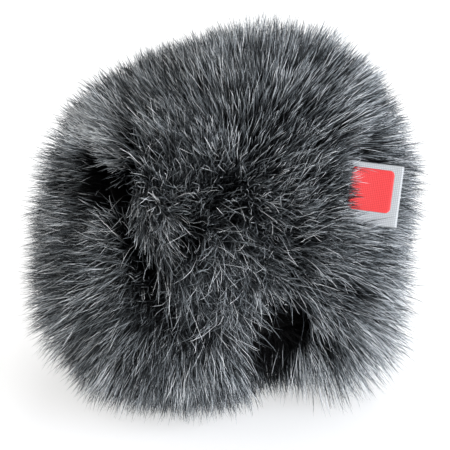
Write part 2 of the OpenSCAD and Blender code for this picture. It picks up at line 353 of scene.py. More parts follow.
class StrandTree:
    """Geometry Nodes that grow tapered hairs from a combed skin, in locks that share a tip, a reach and a tone."""

    NUMBERS = (
        "Hairs per square metre", "Hair width", "Spread", "Sway", "Shortest", "Uneven", "Lock spacing", "Lock pull",
        "Curl", "Bow", "Droop", "Tone low", "Tone high",
    )
    INPUTS = dict.fromkeys(NUMBERS, "NodeSocketFloat") | {
        "Segments": "NodeSocketInt", "Seed": "NodeSocketInt", "Finish": "NodeSocketMaterial",
    }
    # What the skin's grooming gives each root, and what each hair carries on to its rings.
    GROOMED = dict.fromkeys(("cover", "reach", "wild", "soot", "shade"), "FLOAT") | {"comb": "FLOAT_VECTOR"}
    CARRIED = dict.fromkeys(("root", "axis", "bend", "side", "section"), "FLOAT_VECTOR") | {
        "tone": "FLOAT", "phase": "FLOAT",
    }
    # The pile sways in patches about this wide.
    SWAY_PATCH, SWAY_DETAIL, SWAY_ROUGHNESS = 11 * MM, 2.5, 0.6
    # Six hairs in a hundred stray, by more where the pile is laid flat than where it is already tangled.
    STRAY_FROM, STRAY_LEAST, STRAY_MOST, STRAY_DROP = 0.94, 1.6, 5.6, -4.0
    LOWEST, HIGHEST, MIDDLE = (-1, -1, -1), (1, 1, 1), (0.5, 0.5, 0.5)
    RANK_POWER, PULL_RANGE, PHASES = 0.7, (0.5, 1.0), (0.0, 6.28)
    LOCK_REACH, LOCK_STRAY, LOCK_TONE = (-1.0, 0.7), 0.22, 0.27
    TONE_POWER, TONE_BY_RANK, TONE_RANGE = 1.5, (0.6, 1.05), (0.01, 0.985)
    # Rings crowd to the tip, so that a hair stays thick until near its end.
    TIP_CROWDING, TAPER, CURL_TURN = 1.6, 0.3, 6.5
    # The lowest hairs lie on the table at heights of their own.
    FLOOR, FLOOR_SPREAD = 0.3 * MM, 1.2 * MM
    # Painted shade on the roots lifts the black part of the map by this power; each hair spans this width of the map.
    SOOT_POWER, MAP_WIDTH = 4.0, 0.006

    def __init__(self) -> None:
        """Builds the tree once for every panel."""
        self.tree = bpy.data.node_groups.new("fur_strands", "GeometryNodeTree")
        face = self.tree.interface
        face.new_socket("Skin", in_out="INPUT", socket_type="NodeSocketGeometry")
        face.new_socket("Fur", in_out="OUTPUT", socket_type="NodeSocketGeometry")
        self.ids = {
            name: face.new_socket(name, in_out="INPUT", socket_type=kind).identifier
            for name, kind in self.INPUTS.items()
        }
        self.given = add_node(self.tree, "NodeGroupInput").outputs
        self.read = {
            name: self.add("GeometryNodeInputNamedAttribute", {"Name": name}, data_type=kind)
            for name, kind in (self.GROOMED | self.CARRIED).items()
        }
        self.here = self.add("GeometryNodeInputPosition")
        area = self.add(MATH, {0: self.given["Lock spacing"], 1: self.given["Lock spacing"]}, operation="MULTIPLY")
        self.locks = self.scatter(self.add(MATH, {0: 1.0, 1: area}, operation="DIVIDE"), Draw.LOCKS)
        self.lock = self.add("GeometryNodeSampleNearest", {0: self.locks, 1: self.here}, domain="POINT")
        self.rank = self.chance(Draw.RANK)
        self.grow()

    def add(self, kind: str, inputs: dict | None = None, out: int | str = 0, **settings: Any) -> Socket:
        """Adds a node to this tree and gives one of its outputs."""
        return add_node(self.tree, kind, inputs, **settings).outputs[out]

    def seed(self, step: Draw) -> Socket:
        """The panel's seed, moved on by a step."""
        return self.add(MATH, {0: self.given["Seed"], 1: step}, operation="ADD")

    def chance(self, step: Draw, low: float = 0.0, high: float = 1.0) -> Socket:
        """Draws a number for each hair."""
        return self.add(RANDOM, {2: low, 3: high, "Seed": self.seed(step)}, out=1, data_type="FLOAT")

    def scatter(self, density: Socket, step: Draw) -> Socket:
        """Strews points on the skin."""
        inputs = {"Mesh": self.given["Skin"], "Density": density, "Seed": self.seed(step)}
        return self.add("GeometryNodeDistributePointsOnFaces", inputs, distribute_method="RANDOM")

    def aim(self) -> tuple[Socket, Socket, Socket]:
        """Finds where each hair points.

        Returns:
            The combed way with its sway, a loose vector of the hair's own, and the way that it takes.
        """
        given, wild = self.given, self.read["wild"]
        sway = self.add(
            "ShaderNodeTexNoise",
            {
                "Vector": self.here, "Scale": 1 / self.SWAY_PATCH, "Detail": self.SWAY_DETAIL,
                "Roughness": self.SWAY_ROUGHNESS,
            },
            out="Color", noise_dimensions="3D",
        )
        sway = self.add(VECTOR_MATH, {0: sway, 1: self.MIDDLE}, operation="SUBTRACT")
        sway = self.add(VECTOR_MATH, {0: sway, 3: given["Sway"]}, operation="SCALE")
        combed = self.add(VECTOR_MATH, {0: self.read["comb"], 1: sway}, operation="ADD")
        loose = self.add(
            RANDOM, {0: self.LOWEST, 1: self.HIGHEST, "Seed": self.seed(Draw.LOOSE)}, data_type="FLOAT_VECTOR"
        )
        stray = self.add(MATH, {0: self.chance(Draw.STRAY), 1: self.STRAY_FROM}, operation="GREATER_THAN")
        freed = self.add(MATH, {0: wild, 1: self.STRAY_DROP, 2: self.STRAY_MOST}, operation="MULTIPLY_ADD")
        freed = self.add(MATH, {0: freed, 1: self.STRAY_LEAST}, operation="MAXIMUM")
        spread = self.add(MATH, {0: stray, 1: freed, 2: wild}, operation="MULTIPLY_ADD")
        spread = self.add(MATH, {0: given["Spread"], 1: spread}, operation="MULTIPLY")
        strayed = self.add(VECTOR_MATH, {0: loose, 3: spread}, operation="SCALE")
        way = self.add(VECTOR_MATH, {0: combed, 1: strayed}, operation="ADD")
        return combed, loose, self.add(VECTOR_MATH, {0: way}, operation="NORMALIZE")

    def measure(self) -> Socket:
        """Finds how long each hair is, from the groomed reach, its rank in the coat and its lock.

        Returns:
            The length.
        """
        ranked = self.add(MATH, {0: self.rank, 1: self.RANK_POWER}, operation="POWER")
        share = self.add("ShaderNodeMapRange", {0: ranked, 3: self.given["Shortest"], 4: 1.0})
        low, high = self.LOCK_REACH
        reach = self.add(
            RANDOM, {2: low, 3: high, "ID": self.lock, "Seed": Draw.LOCK_REACH}, out=1, data_type="FLOAT"
        )
        reach = self.add(MATH, {0: reach, 1: self.given["Uneven"], 2: 1.0}, operation="MULTIPLY_ADD")
        share = self.add(MATH, {0: share, 1: reach}, operation="MULTIPLY")
        return self.add(MATH, {0: self.read["reach"], 1: share}, operation="MULTIPLY")

    def bend(self, combed: Socket, axis: Socket, side: Socket, length: Socket) -> Socket:
        """Finds how far each tip bends: into its lock, down with its weight, and bowed to one side.

        Args:
            combed: the combed way with its sway.
            axis: the straight hair from root to tip.
            side: the hair's own sideways direction.
            length: the hair's length.

        Returns:
            The vector from the straight hair's tip to the bent one's.
        """
        given = self.given
        root = self.add(
            "GeometryNodeSampleIndex", {0: self.locks, 1: self.here, "Index": self.lock}, data_type="FLOAT_VECTOR"
        )
        strayed = self.add(
            RANDOM, {0: self.LOWEST, 1: self.HIGHEST, "ID": self.lock, "Seed": Draw.LOCK_WAY},
            data_type="FLOAT_VECTOR",
        )
        strayed = self.add(VECTOR_MATH, {0: strayed, 3: self.LOCK_STRAY}, operation="SCALE")
        lock_way = self.add(VECTOR_MATH, {0: combed, 1: strayed}, operation="ADD")
        lock_way = self.add(VECTOR_MATH, {0: lock_way}, operation="NORMALIZE")
        lock_axis = self.add(VECTOR_MATH, {0: lock_way, 3: length}, operation="SCALE")
        lock_tip = self.add(VECTOR_MATH, {0: root, 1: lock_axis}, operation="ADD")
        own_tip = self.add(VECTOR_MATH, {0: self.here, 1: axis}, operation="ADD")
        apart = self.add(VECTOR_MATH, {0: lock_tip, 1: own_tip}, operation="SUBTRACT")
        pull = self.chance(Draw.PULL, *self.PULL_RANGE)
        pull = self.add(MATH, {0: given["Lock pull"], 1: pull}, operation="MULTIPLY")
        bend = self.add(VECTOR_MATH, {0: apart, 3: pull}, operation="SCALE")
        fall = self.add(MATH, {0: length, 1: given["Droop"]}, operation="MULTIPLY")
        fall = self.add(MATH, {0: fall, 1: -1.0}, operation="MULTIPLY")
        fall = self.add("ShaderNodeCombineXYZ", {2: fall})
        bend = self.add(VECTOR_MATH, {0: bend, 1: fall}, operation="ADD")
        bow = self.add(MATH, {0: given["Bow"], 1: self.read["wild"]}, operation="MULTIPLY")
        bow = self.add(MATH, {0: length, 1: bow}, operation="MULTIPLY")
        bow = self.add(MATH, {0: bow, 1: self.chance(Draw.BOW, low=-1.0)}, operation="MULTIPLY")
        bow = self.add(VECTOR_MATH, {0: side, 3: bow}, operation="SCALE")
        return self.add(VECTOR_MATH, {0: bend, 1: bow}, operation="ADD")

    def colour(self) -> Socket:
        """Finds where each hair stands between black and silver, with the longest hairs the palest.

        Returns:
            The tone, from 0 to 1.
        """
        given, (darkest, palest) = self.given, self.TONE_BY_RANK
        drawn = self.add(MATH, {0: self.chance(Draw.TONE), 1: self.TONE_POWER}, operation="POWER")
        tone = self.add("ShaderNodeMapRange", {0: drawn, 3: given["Tone low"], 4: given["Tone high"]})
        shift = self.add(
            RANDOM, {2: -self.LOCK_TONE, 3: self.LOCK_TONE, "ID": self.lock, "Seed": Draw.LOCK_TONE},
            out=1, data_type="FLOAT",
        )
        # The lock's own tone, then the grooming's tone, which carries its painted light and shade.
        for more in (shift, self.read["shade"]):
            tone = self.add(MATH, {0: tone, 1: more}, operation="ADD")
        ranked = self.add("ShaderNodeMapRange", {0: self.rank, 3: darkest, 4: palest})
        tone = self.add(MATH, {0: tone, 1: ranked}, operation="MULTIPLY")
        return self.add("ShaderNodeClamp", {0: tone, 1: self.TONE_RANGE[0], 2: self.TONE_RANGE[1]})

    def grow(self) -> None:
        """Lays out the whole tree, from roots on the skin to dressed fur."""
        given = self.given
        crowd = self.add(MATH, {0: given["Hairs per square metre"], 1: self.read["cover"]}, operation="MULTIPLY")
        points = self.scatter(crowd, Draw.ROOTS)
        combed, loose, way = self.aim()
        length = self.measure()
        axis = self.add(VECTOR_MATH, {0: way, 3: length}, operation="SCALE")
        side = self.add(VECTOR_MATH, {0: way, 1: loose}, operation="CROSS_PRODUCT")
        side = self.add(VECTOR_MATH, {0: side}, operation="NORMALIZE")
        for name, value in {
            "root": self.here, "axis": axis, "bend": self.bend(combed, axis, side, length), "side": side,
            "tone": self.colour(), "phase": self.chance(Draw.PHASE, *self.PHASES),
        }.items():
            points = self.add(
                "GeometryNodeStoreNamedAttribute", {"Geometry": points, "Name": name, "Value": value},
                data_type=self.CARRIED[name], domain="POINT",
            )
        hair = self.add(
            "GeometryNodeMeshCone",
            {"Vertices": 3, "Side Segments": given["Segments"], "Radius Top": 0.0, "Radius Bottom": 1.0, "Depth": 1.0},
            fill_type="NGON",
        )
        hair = self.add(
            "GeometryNodeStoreNamedAttribute", {"Geometry": hair, "Name": "section", "Value": self.here},
            data_type=self.CARRIED["section"], domain="POINT",
        )
        fur = self.add("GeometryNodeInstanceOnPoints", {"Points": points, "Instance": hair})
        fur = self.place(self.add("GeometryNodeRealizeInstances", {0: fur}))
        fur = self.add("GeometryNodeSetShadeSmooth", {0: fur})
        fur = self.add("GeometryNodeSetMaterial", {"Geometry": fur, "Material": given["Finish"]})
        add_node(self.tree, "NodeGroupOutput", {0: fur})

    def place(self, fur: Socket) -> Socket:
        """Moves every hair's rings to their places and maps them by tone and height.

        Args:
            fur: the realised hairs.

        Returns:
            The shaped and mapped hairs.
        """
        given, read = self.given, self.read
        section = add_node(self.tree, SPLIT, {0: read["section"]}).outputs
        below = self.add(MATH, {0: 1.0, 1: section[2]}, operation="SUBTRACT")
        below = self.add(MATH, {0: below, 1: self.TIP_CROWDING}, operation="POWER")
        along = self.add(MATH, {0: 1.0, 1: below}, operation="SUBTRACT")
        square = self.add(MATH, {0: along, 1: along}, operation="MULTIPLY")
        other = self.add(VECTOR_MATH, {0: read["axis"], 1: read["side"]}, operation="CROSS_PRODUCT")
        other = self.add(VECTOR_MATH, {0: other}, operation="NORMALIZE")
        turn = self.add(MATH, {0: along, 1: self.CURL_TURN}, operation="MULTIPLY")
        turn = self.add(MATH, {0: turn, 1: read["phase"]}, operation="ADD")
        swing = self.add(MATH, {0: given["Curl"], 1: read["wild"]}, operation="MULTIPLY")
        swing = self.add(MATH, {0: swing, 1: along}, operation="MULTIPLY")
        curl = [
            self.add(MATH, {0: swing, 1: self.add(MATH, {0: turn}, operation=wave)}, operation="MULTIPLY")
            for wave in ("SINE", "COSINE")
        ]
        spine = read["root"]
        for way, far in (
            (read["axis"], along), (read["bend"], square), (read["side"], curl[0]), (other, curl[1]),
        ):
            step = self.add(VECTOR_MATH, {0: way, 3: far}, operation="SCALE")
            spine = self.add(VECTOR_MATH, {0: spine, 1: step}, operation="ADD")
        around = self.add("ShaderNodeCombineXYZ", {0: section[0], 1: section[1]})
        around = self.add(VECTOR_MATH, {0: around}, operation="NORMALIZE")
        around = add_node(self.tree, SPLIT, {0: around}).outputs
        ring = [
            self.add(VECTOR_MATH, {0: way, 3: far}, operation="SCALE")
            for way, far in ((read["side"], around[0]), (other, around[1]))
        ]
        ring = self.add(VECTOR_MATH, {0: ring[0], 1: ring[1]}, operation="ADD")
        thick = self.add(MATH, {0: square, 1: -self.TAPER, 2: 0.5}, operation="MULTIPLY_ADD")
        thick = self.add(MATH, {0: given["Hair width"], 1: thick}, operation="MULTIPLY")
        ring = self.add(VECTOR_MATH, {0: ring, 3: thick}, operation="SCALE")
        spot = self.add(VECTOR_MATH, {0: spine, 1: ring}, operation="ADD")
        spot = add_node(self.tree, SPLIT, {0: spot}).outputs
        rest = self.add(MATH, {0: read["tone"], 1: self.FLOOR_SPREAD, 2: self.FLOOR}, operation="MULTIPLY_ADD")
        height = self.add(MATH, {0: spot[2], 1: rest}, operation="MAXIMUM")
        spot = self.add("ShaderNodeCombineXYZ", {0: spot[0], 1: spot[1], 2: height})
        fur = self.add("GeometryNodeSetPosition", {"Geometry": fur, "Position": spot})
        across = self.add(MATH, {0: around[0], 1: self.MAP_WIDTH, 2: read["tone"]}, operation="MULTIPLY_ADD")
        # Painted shade on the roots bends the map's height, so that black reaches further up the hair.
        power = self.add(MATH, {0: read["soot"], 1: self.SOOT_POWER, 2: 1.0}, operation="MULTIPLY_ADD")
        height = self.add(MATH, {0: along, 1: power}, operation="POWER")
        place = self.add("ShaderNodeCombineXYZ", {0: across, 1: height})
        return self.add(
            "GeometryNodeStoreNamedAttribute", {"Geometry": fur, "Name": "OFBake", "Value": place},
            data_type="FLOAT2", domain="CORNER",
        )


class Comb(Enum):
    """How a panel's pile was brushed."""

    AWAY = "away from the mouth"
    RUFFLED = "rolled over the lip"
    LAID = "laid down off the lip"


@dataclass(frozen=True)
class LabelPlace:
    """Where the folded label leaves the right side seam, in metres."""

    hinge: tuple[float, float, float] = (39.6245 * MM, -11.5329 * MM, 75.7241 * MM)
    run: tuple[float, float, float] = (0.0094, -0.5404, -0.8413)
    out: tuple[float, float, float] = (0.98406, 0.15444, -0.08821)
    back: tuple[float, float, float] = (-0.1776, 0.8271, -0.5333)
    width: float = 19 * MM


LABEL_PLACE = LabelPlace()


@dataclass(frozen=True)
class Parting:
    """A gap in the pile, along a line between two places given as a turn and a place along the mouth.

    No hair grows within the bare distance. From there out to the reach it is pushed away and keeps part of its length,
    and by the gap it is painted with shade: darker, with its black roots higher.
    """

    start: tuple[float, float]
    stop: tuple[float, float]
    bare: float
    reach: float
    push: float
    kept: float
    dark: float = 0.2
    soot: float = 0.0

    def away(self, points: np.ndarray) -> tuple[np.ndarray, np.ndarray]:
        """Measures from the gap's line.

        Args:
            points: skin points.

        Returns:
            The vectors from the line to each point, and their lengths.
        """
        start, stop = FORM.at(*self.start), FORM.at(*self.stop)
        line = stop - start
        share = np.clip((points - start) @ line / max(line @ line, 1e-12), 0, 1)
        vectors = points - start - np.outer(share, line)
        return vectors, np.linalg.norm(vectors, axis=1)

    def rim(self, points: np.ndarray, width: float) -> np.ndarray:
        """One on the bare part, easing to nothing a width past it."""
        return 1 - eased(self.bare, self.bare + width, self.away(points)[1])


@dataclass(frozen=True)
class Stroke:
    """One stroke of the brush: its place on the body, and how far it leans the hair up and endward."""

    turn: float
    along: float
    upward: float
    endward: float
    width: float = 9 * MM

    def hold(self, points: np.ndarray) -> np.ndarray:
        """The stroke's hold on each point, one at its place."""
        return np.exp(-np.sum((points - FORM.at(self.turn, self.along)) ** 2, axis=1) / self.width**2)

    def lean(self) -> np.ndarray:
        """The way that the stroke leans the hair.

        Returns:
            A vector along the surface.
        """
        place = FORM.at(self.turn, self.along)
        round_way = FORM.round_way(np.array([self.turn]))[0]
        end_way = np.cross(FORM.outward(place[None])[0], round_way)
        return round_way * self.upward + end_way * self.endward


@dataclass(frozen=True)
class Tuft:
    """A patch of pile with ways of its own.

    Gain makes it longer, root shade takes its black roots higher as painted shade, tone makes it paler, or darker
    where less than nothing, in places as painted light or shade, crowd denser and fray looser.
    """

    FULL_WITHIN = 0.2

    turn: float
    along: float
    radius: float
    gain: float
    soot: float = 0.0
    tone: float = 0.0
    crowd: float = 0.0
    fray: float = 0.0

    def share(self, points: np.ndarray) -> np.ndarray:
        """The patch's hold on each point, full in the middle and nothing past the radius."""
        far = np.linalg.norm(points - FORM.at(self.turn, self.along), axis=1)
        return 1 - eased(self.FULL_WITHIN * self.radius, self.radius, far)


@dataclass(frozen=True)
class Grooming:
    """How the pile leans, how long, pale, dense and loose it stands, where it parts, and where light and shade are
    painted on it.
    """

    # The face's hair fans out from one whorl.
    whorl: tuple[float, float] = (33.0, 5 * MM)
    whorl_lean: float = 0.24
    whorl_width: float = 15 * MM
    # Turns away from the slit, and the lean there, on the upper and the lower lip.
    ruffled: tuple[tuple[float, ...], ...] = ((2, 14, 32), (-0.5, -0.1, 0.15))
    laid: tuple[tuple[float, ...], ...] = ((2, 12, 24, 38), (0.1, 0.12, 0.12, 0.15))
    # How much of a panel's own lean the strokes leave.
    unstroked: float = 0.25
    # Start, stop, bare, reach, push, kept, dark and painted root shade of each gap: the dark and the root shade paint
    # shade round it.
    partings: tuple[Parting, ...] = (
        # The black hole at the mouth's lower right end, and the wedge at its upper left end: gaps in the pile, with
        # painted shadow in them, black roots nearly to the tips in the hole.
        Parting((6.0, -27 * MM), (-16.0, -33 * MM), 6.6 * MM, 14 * MM, 1.35, 0.42, 0.15, 1.1),
        Parting((-6.0, 35.5 * MM), (-12.0, 30 * MM), 2.4 * MM, 8 * MM, 0.3, 0.8, 0.0, 0.3),
        # Small gaps over the upper lip, on the right side and under the slit, dark where the pile parts and with
        # painted shade round them; the one under the slit is nearly all painted shade.
        Parting((29.0, 9 * MM), (38.0, 6 * MM), 1.4 * MM, 6 * MM, 0.25, 0.85),
        Parting((13.0, 14 * MM), (18.0, 10 * MM), 2.5 * MM, 8 * MM, 0.5, 0.7),
        Parting((20.0, -7 * MM), (20.0, -9 * MM), 2 * MM, 6 * MM, 0.3, 0.8),
        Parting((31.0, -27 * MM), (46.0, -38 * MM), 1.5 * MM, 7 * MM, 0.3, 0.8, 0.15, 0.4),
        Parting((-7.0, 9 * MM), (-9.0, -13 * MM), 0.5 * MM, 5 * MM, 0.1, 0.9, 0.15, 0.55),
    )
    # Turn, place along the mouth, radius, gain, painted root shade, tone, crowd and fray of each patch.
    tufts: tuple[Tuft, ...] = (
        # The outline low down and at both ends: the lobes on the table, and the hollow between them.
        Tuft(-75.0, -32 * MM, 24 * MM, -0.3),
        Tuft(0.0, -45.9 * MM, 26 * MM, 0.22),
        Tuft(-64.0, 28 * MM, 25 * MM, 0.05),
        Tuft(-80.0, 10 * MM, 26 * MM, -0.12),
        Tuft(-47.0, -16 * MM, 20 * MM, -0.14),
        Tuft(-60.0, -43 * MM, 14 * MM, -0.22),
        Tuft(-55.0, 43 * MM, 16 * MM, -0.06),
        Tuft(-52.0, 14 * MM, 16 * MM, 0.1),
        Tuft(-15.0, -45.5 * MM, 14 * MM, 0.18),
        # Painted light on the right end, paler; and painted shadow under the hole, darker, with black roots higher.
        Tuft(-10.0, -45.9 * MM, 22 * MM, 0.0, -0.05, 0.35),
        Tuft(-52.0, -36 * MM, 11 * MM, -0.1, 0.6, -0.1),
        # The pale ridge along the upper lip, from the left end to the middle.
        Tuft(8.0, 44 * MM, 14 * MM, -0.1, 0.0, 0.35, 1.5),
        Tuft(21.0, 36 * MM, 11 * MM, -0.1, 0.0, 0.3, 0.9),
        # Painted shade at the upper left end: shorter, with black roots higher.
        Tuft(-26.0, 39 * MM, 10 * MM, -0.2, 0.4),
        Tuft(9.0, 23 * MM, 12 * MM, 0.0, 0.0, 0.12, 0.9),
        Tuft(9.0, 34 * MM, 9 * MM, 0.0, 0.0, 0.15, 1.2),
        # Painted shade high on the right end: shorter, with black roots higher.
        Tuft(72.0, -44 * MM, 9 * MM, -0.1, 0.35),
        # The tangle over the mouth.
        Tuft(7.0, -8 * MM, 22 * MM, 0.0, fray=1.5),
        Tuft(0.0, 12 * MM, 13 * MM, 0.0, fray=0.6),
        Tuft(-5.0, 23 * MM, 9 * MM, 0.0, 0.0, 0.1, 0.4, 0.9),
        # The outline over the top, and painted shade on the middle of the upper lip and the face: darker, with black
        # roots higher.
        Tuft(60.0, 42 * MM, 26 * MM, -0.12),
        Tuft(110.0, -20 * MM, 30 * MM, 0.08),
        Tuft(115.0, 10 * MM, 35 * MM, 0.13),
        Tuft(-45.0, -44 * MM, 22 * MM, 0.06),
        Tuft(15.0, 5 * MM, 27 * MM, 0.0, 0.06, -0.06),
        Tuft(58.0, -5 * MM, 34 * MM, 0.0, 0.36),
    )
    # Turn, place along the mouth, lean upward and endward, and width of each stroke.
    strokes: tuple[Stroke, ...] = (
        # The ridge, laid along the slit.
        Stroke(-8, 44 * MM, 0.6, 0.0, 7 * MM), Stroke(9, 41 * MM, 0.5, -1.6, 6 * MM),
        Stroke(9, 34 * MM, 0.7, -2.3, 7 * MM), Stroke(8, 27 * MM, 0.8, -2.6, 7 * MM),
        Stroke(8, 21 * MM, 0.7, -2.7, 7 * MM), Stroke(8, 15 * MM, 0.5, -2.7, 7 * MM),
        Stroke(8, 9 * MM, 0.3, -2.4, 7 * MM), Stroke(6, 3 * MM, 0.0, -1.4, 6 * MM),
        Stroke(3, -2 * MM, -0.8, -0.3, 6 * MM),
        # The face, swept up beside the label.
        Stroke(58, -12 * MM, 0.2, 0.7, 8 * MM), Stroke(52, -20 * MM, 0.2, 0.7, 8 * MM),
        # The middle of the lip, rolled down over the mouth.
        Stroke(4, -7 * MM, -0.7, -0.2), Stroke(4, -15 * MM, -0.7, 0.0),
        Stroke(18, 0 * MM, -0.1, -0.5), Stroke(27, -5 * MM, -0.2, -0.3), Stroke(17, -18 * MM, -0.2, 0.1),
        # The right of the lip, and the edge of the face over the ridge.
        Stroke(31, -15 * MM, 0.5, 0.6), Stroke(38, -21 * MM, 0.5, 0.6), Stroke(54, -26 * MM, 0.3, 0.4),
        Stroke(22, 40 * MM, 0.0, 0.2, 8 * MM), Stroke(24, 26 * MM, 0.8, -0.1, 8 * MM),
        Stroke(26, 17 * MM, 0.8, -0.1, 8 * MM), Stroke(26, 8 * MM, 0.4, -0.3, 8 * MM),
    )
    # Widths of a gap's two rims of painted shade: the darker one, and the one where black roots reach higher.
    dark_rim: float = 4 * MM
    soot_rim: float = 6 * MM
    # Hair starts between these shares of a gap's bare width.
    gap_edge: tuple[float, float] = (0.7, 1.1)
    # Hair before the label ends this far out along it, or keeps this share of its length.
    label_cover: float = 10.5 * MM
    label_kept: float = 0.14
    label_pile: float = 20 * MM
    # Hair leans out along the label by this much more than the surface does, and at least by the second number.
    label_rise: tuple[float, float] = (0.3, 0.25)
    # Shares of the label's width, and places before and behind it, where its hold on the hair starts and ends.
    label_near: tuple[float, float] = (0.5, 0.8)
    label_before: tuple[float, float, float, float] = (-1.5 * MM, 0.0, 24 * MM, 32 * MM)
    label_behind: tuple[float, float, float, float] = (-1.0 * MM, 0.0, 4 * MM, 14 * MM)
    # Hair before the label is thinner by this much, and has this much less painted shade on its roots.
    label_thin: float = 0.15
    label_root_shade_cut: float = 0.14
    # Little hair grows this close to the label's own plane.
    label_slit: tuple[float, float] = (1.3 * MM, 2.4 * MM)
    label_bare: float = 0.85
    # The lower lip's rim frays between these turns, over the middle of the mouth.
    frayed_from: tuple[float, float] = (-14, -6)
    frayed_to: tuple[float, float] = (-1, 1)
    frayed_half: float = 40 * MM
    frayed_by: float = 0.7
    # A stroke that leans the hair endward by more than its own height calms it.
    calm_from: float = 1.0
    calm_by: float = 0.6

    def lean(self, points: np.ndarray, normals: np.ndarray, comb: Comb) -> np.ndarray:
        """The tangent lean of the pile at each point.

        Args:
            points: skin points.
            normals: outward directions there.
            comb: how the panel was brushed.

        Returns:
            Lean vectors, as a share of the outward direction.
        """

        def level(vectors: np.ndarray) -> np.ndarray:
            """Takes out what stands out of the surface."""
            return vectors - normals * np.sum(vectors * normals, axis=1, keepdims=True)

        turns = FORM.turn(points)
        round_way = FORM.round_way(turns)
        if comb is Comb.AWAY:
            away = points - FORM.at(*self.whorl)
            grown = eased(0, self.whorl_width, np.linalg.norm(away, axis=1))
            lean = unit(level(away)) * (self.whorl_lean * grown)[:, None]
        elif comb is Comb.RUFFLED:
            lean = round_way * np.interp(turns, *self.ruffled)[:, None]
        else:
            lean = -round_way * np.interp(-turns, *self.laid)[:, None]
        if comb is not Comb.LAID:
            total, summed = np.full(len(points), self.unstroked), self.unstroked * lean
            for stroke in self.strokes:
                weight = stroke.hold(points)
                total, summed = total + weight, summed + weight[:, None] * stroke.lean()
            lean = level(summed / total[:, None])
        lean = lean + level(np.outer(self.by_label(points, behind=True), LABEL_PLACE.back))
        for gap in self.partings:
            away, far = gap.away(points)
            lean = lean + unit(level(away)) * (gap.push * (1 - eased(gap.bare, gap.reach, far)))[:, None]
        return lean

    def shade(self, points: np.ndarray) -> np.ndarray:
        """How much paler the pile is at each point, with painted light and shade in some patches and painted shade,
        less than nothing, by the gaps.
        """
        paler = sum(tuft.tone * tuft.share(points) for tuft in self.tufts)
        return paler - sum(gap.dark * gap.rim(points, self.dark_rim) for gap in self.partings)

    def soot(self, points: np.ndarray) -> np.ndarray:
        """How far up the hairs their black roots reach at each point, as painted shade.

        Args:
            points: skin points.

        Returns:
            Numbers from about 0, as the finish has it, to 1, nearly to the tip, with the painted shade most by the
            mouth's gaps.
        """
        most = sum(tuft.soot * tuft.share(points) for tuft in self.tufts) - self.label_root_shade_cut * self.by_label(points)
        for gap in self.partings:
            most = np.maximum(most, gap.soot * gap.rim(points, self.soot_rim))
        return most

    def wild(self, points: np.ndarray) -> np.ndarray:
        """How loose the hairs are at each point.

        Args:
            points: skin points.

        Returns:
            One for plain pile, less where the brush laid it flat, more on the frayed rim and in tangles.
        """
        calmed = np.zeros(len(points))
        for stroke in self.strokes:
            if abs(stroke.endward) > self.calm_from:
                calmed = np.maximum(calmed, stroke.hold(points))
        turns = FORM.turn(points)
        frayed = eased(*self.frayed_from, turns) * (1 - eased(*self.frayed_to, turns))
        frayed = frayed * (np.abs(FORM.local(points)[:, 2]) < self.frayed_half)
        tangled = sum(tuft.fray * tuft.share(points) for tuft in self.tufts)
        return 1 - self.calm_by * calmed + self.frayed_by * frayed + tangled

    def cover(self, points: np.ndarray) -> np.ndarray:
        """How densely hair grows at each point.

        Args:
            points: skin points.

        Returns:
            One for plain pile, more in crowded tufts, little at the label's seam and none in the gaps.
        """
        seam = np.maximum(self.by_label(points), self.by_label(points, behind=True))
        seam *= 1 - eased(*self.label_slit, np.abs((points - LABEL_PLACE.hinge) @ np.array(LABEL_PLACE.back)))
        share = 1 - self.label_thin * self.by_label(points) - self.label_bare * seam
        share *= 1 + sum(tuft.crowd * tuft.share(points) for tuft in self.tufts)
        for gap in self.partings:
            start, full = (edge * gap.bare for edge in self.gap_edge)
            share *= eased(start, full, gap.away(points)[1])
        return share

    def trim(self, points: np.ndarray) -> np.ndarray:
        """How much of its full length the pile has at each point.

        Args:
            points: skin points.

        Returns:
            One for plain pile, less by the gaps and before the label, more or less in the tufts.
        """
        share = np.ones(len(points))
        for gap in self.partings:
            share *= gap.kept + (1 - gap.kept) * eased(gap.bare, gap.reach, gap.away(points)[1])
        way_out = np.array(LABEL_PLACE.out)
        past = (points - np.array(LABEL_PLACE.hinge)) @ way_out
        further, least = self.label_rise
        rise = self.label_pile * np.maximum(FORM.outward(points) @ way_out + further, least)
        kept = np.clip((self.label_cover - past) / rise, self.label_kept, 1)
        share *= 1 + sum(tuft.gain * tuft.share(points) for tuft in self.tufts)
        return share * (1 - self.by_label(points) * (1 - kept))

    def by_label(self, points: np.ndarray, behind: bool = False) -> np.ndarray:
        """How close each point's hair stands before the label's face.

        Args:
            points: skin points.
            behind: whether to ask for the label's back instead.

        Returns:
            Numbers from 0 to 1.
        """
        q = points - np.array(LABEL_PLACE.hinge)
        edge, end = (share * LABEL_PLACE.width for share in self.label_near)
        near = 1 - eased(edge, end, np.abs(q @ np.array(LABEL_PLACE.run)))
        back = q @ np.array(LABEL_PLACE.back)
        far = back if behind else -back
        start, full, fade, stop = self.label_behind if behind else self.label_before
        return near * eased(start, full, far) * (1 - eased(fade, stop, far))


GROOMING = Grooming()


@dataclass(frozen=True)
class Coat:
    """One of the pile's coats: how dense, thick, long, clumped and pale its hairs are, and whether they bend."""

    name: str
    density: float
    width: float
    segments: int
    shortest: float
    lock: float
    pull: float
    tone: tuple[float, float]
    bends: bool = True


# Real fibres are a tenth as thick and many times as dense: these are drawn about a pixel wide, so that they show.
# Name, hairs per square metre, width, rings, shortest share, width of a lock, its pull, and the range of tones.
COATS = (
    Coat("guard_hair", 1.7e6, 0.25 * MM, 3, 0.84, 3.6 * MM, 0.34, (0.3, 1.05)),
    Coat("middle_hair", 1.6e6, 0.25 * MM, 3, 0.64, 3.6 * MM, 0.3, (0.08, 0.75)),
    Coat("underfur", 1.35e6, 0.3 * MM, 2, 0.4, 2.0 * MM, 0.25, (0.0, 0.25), False),
)


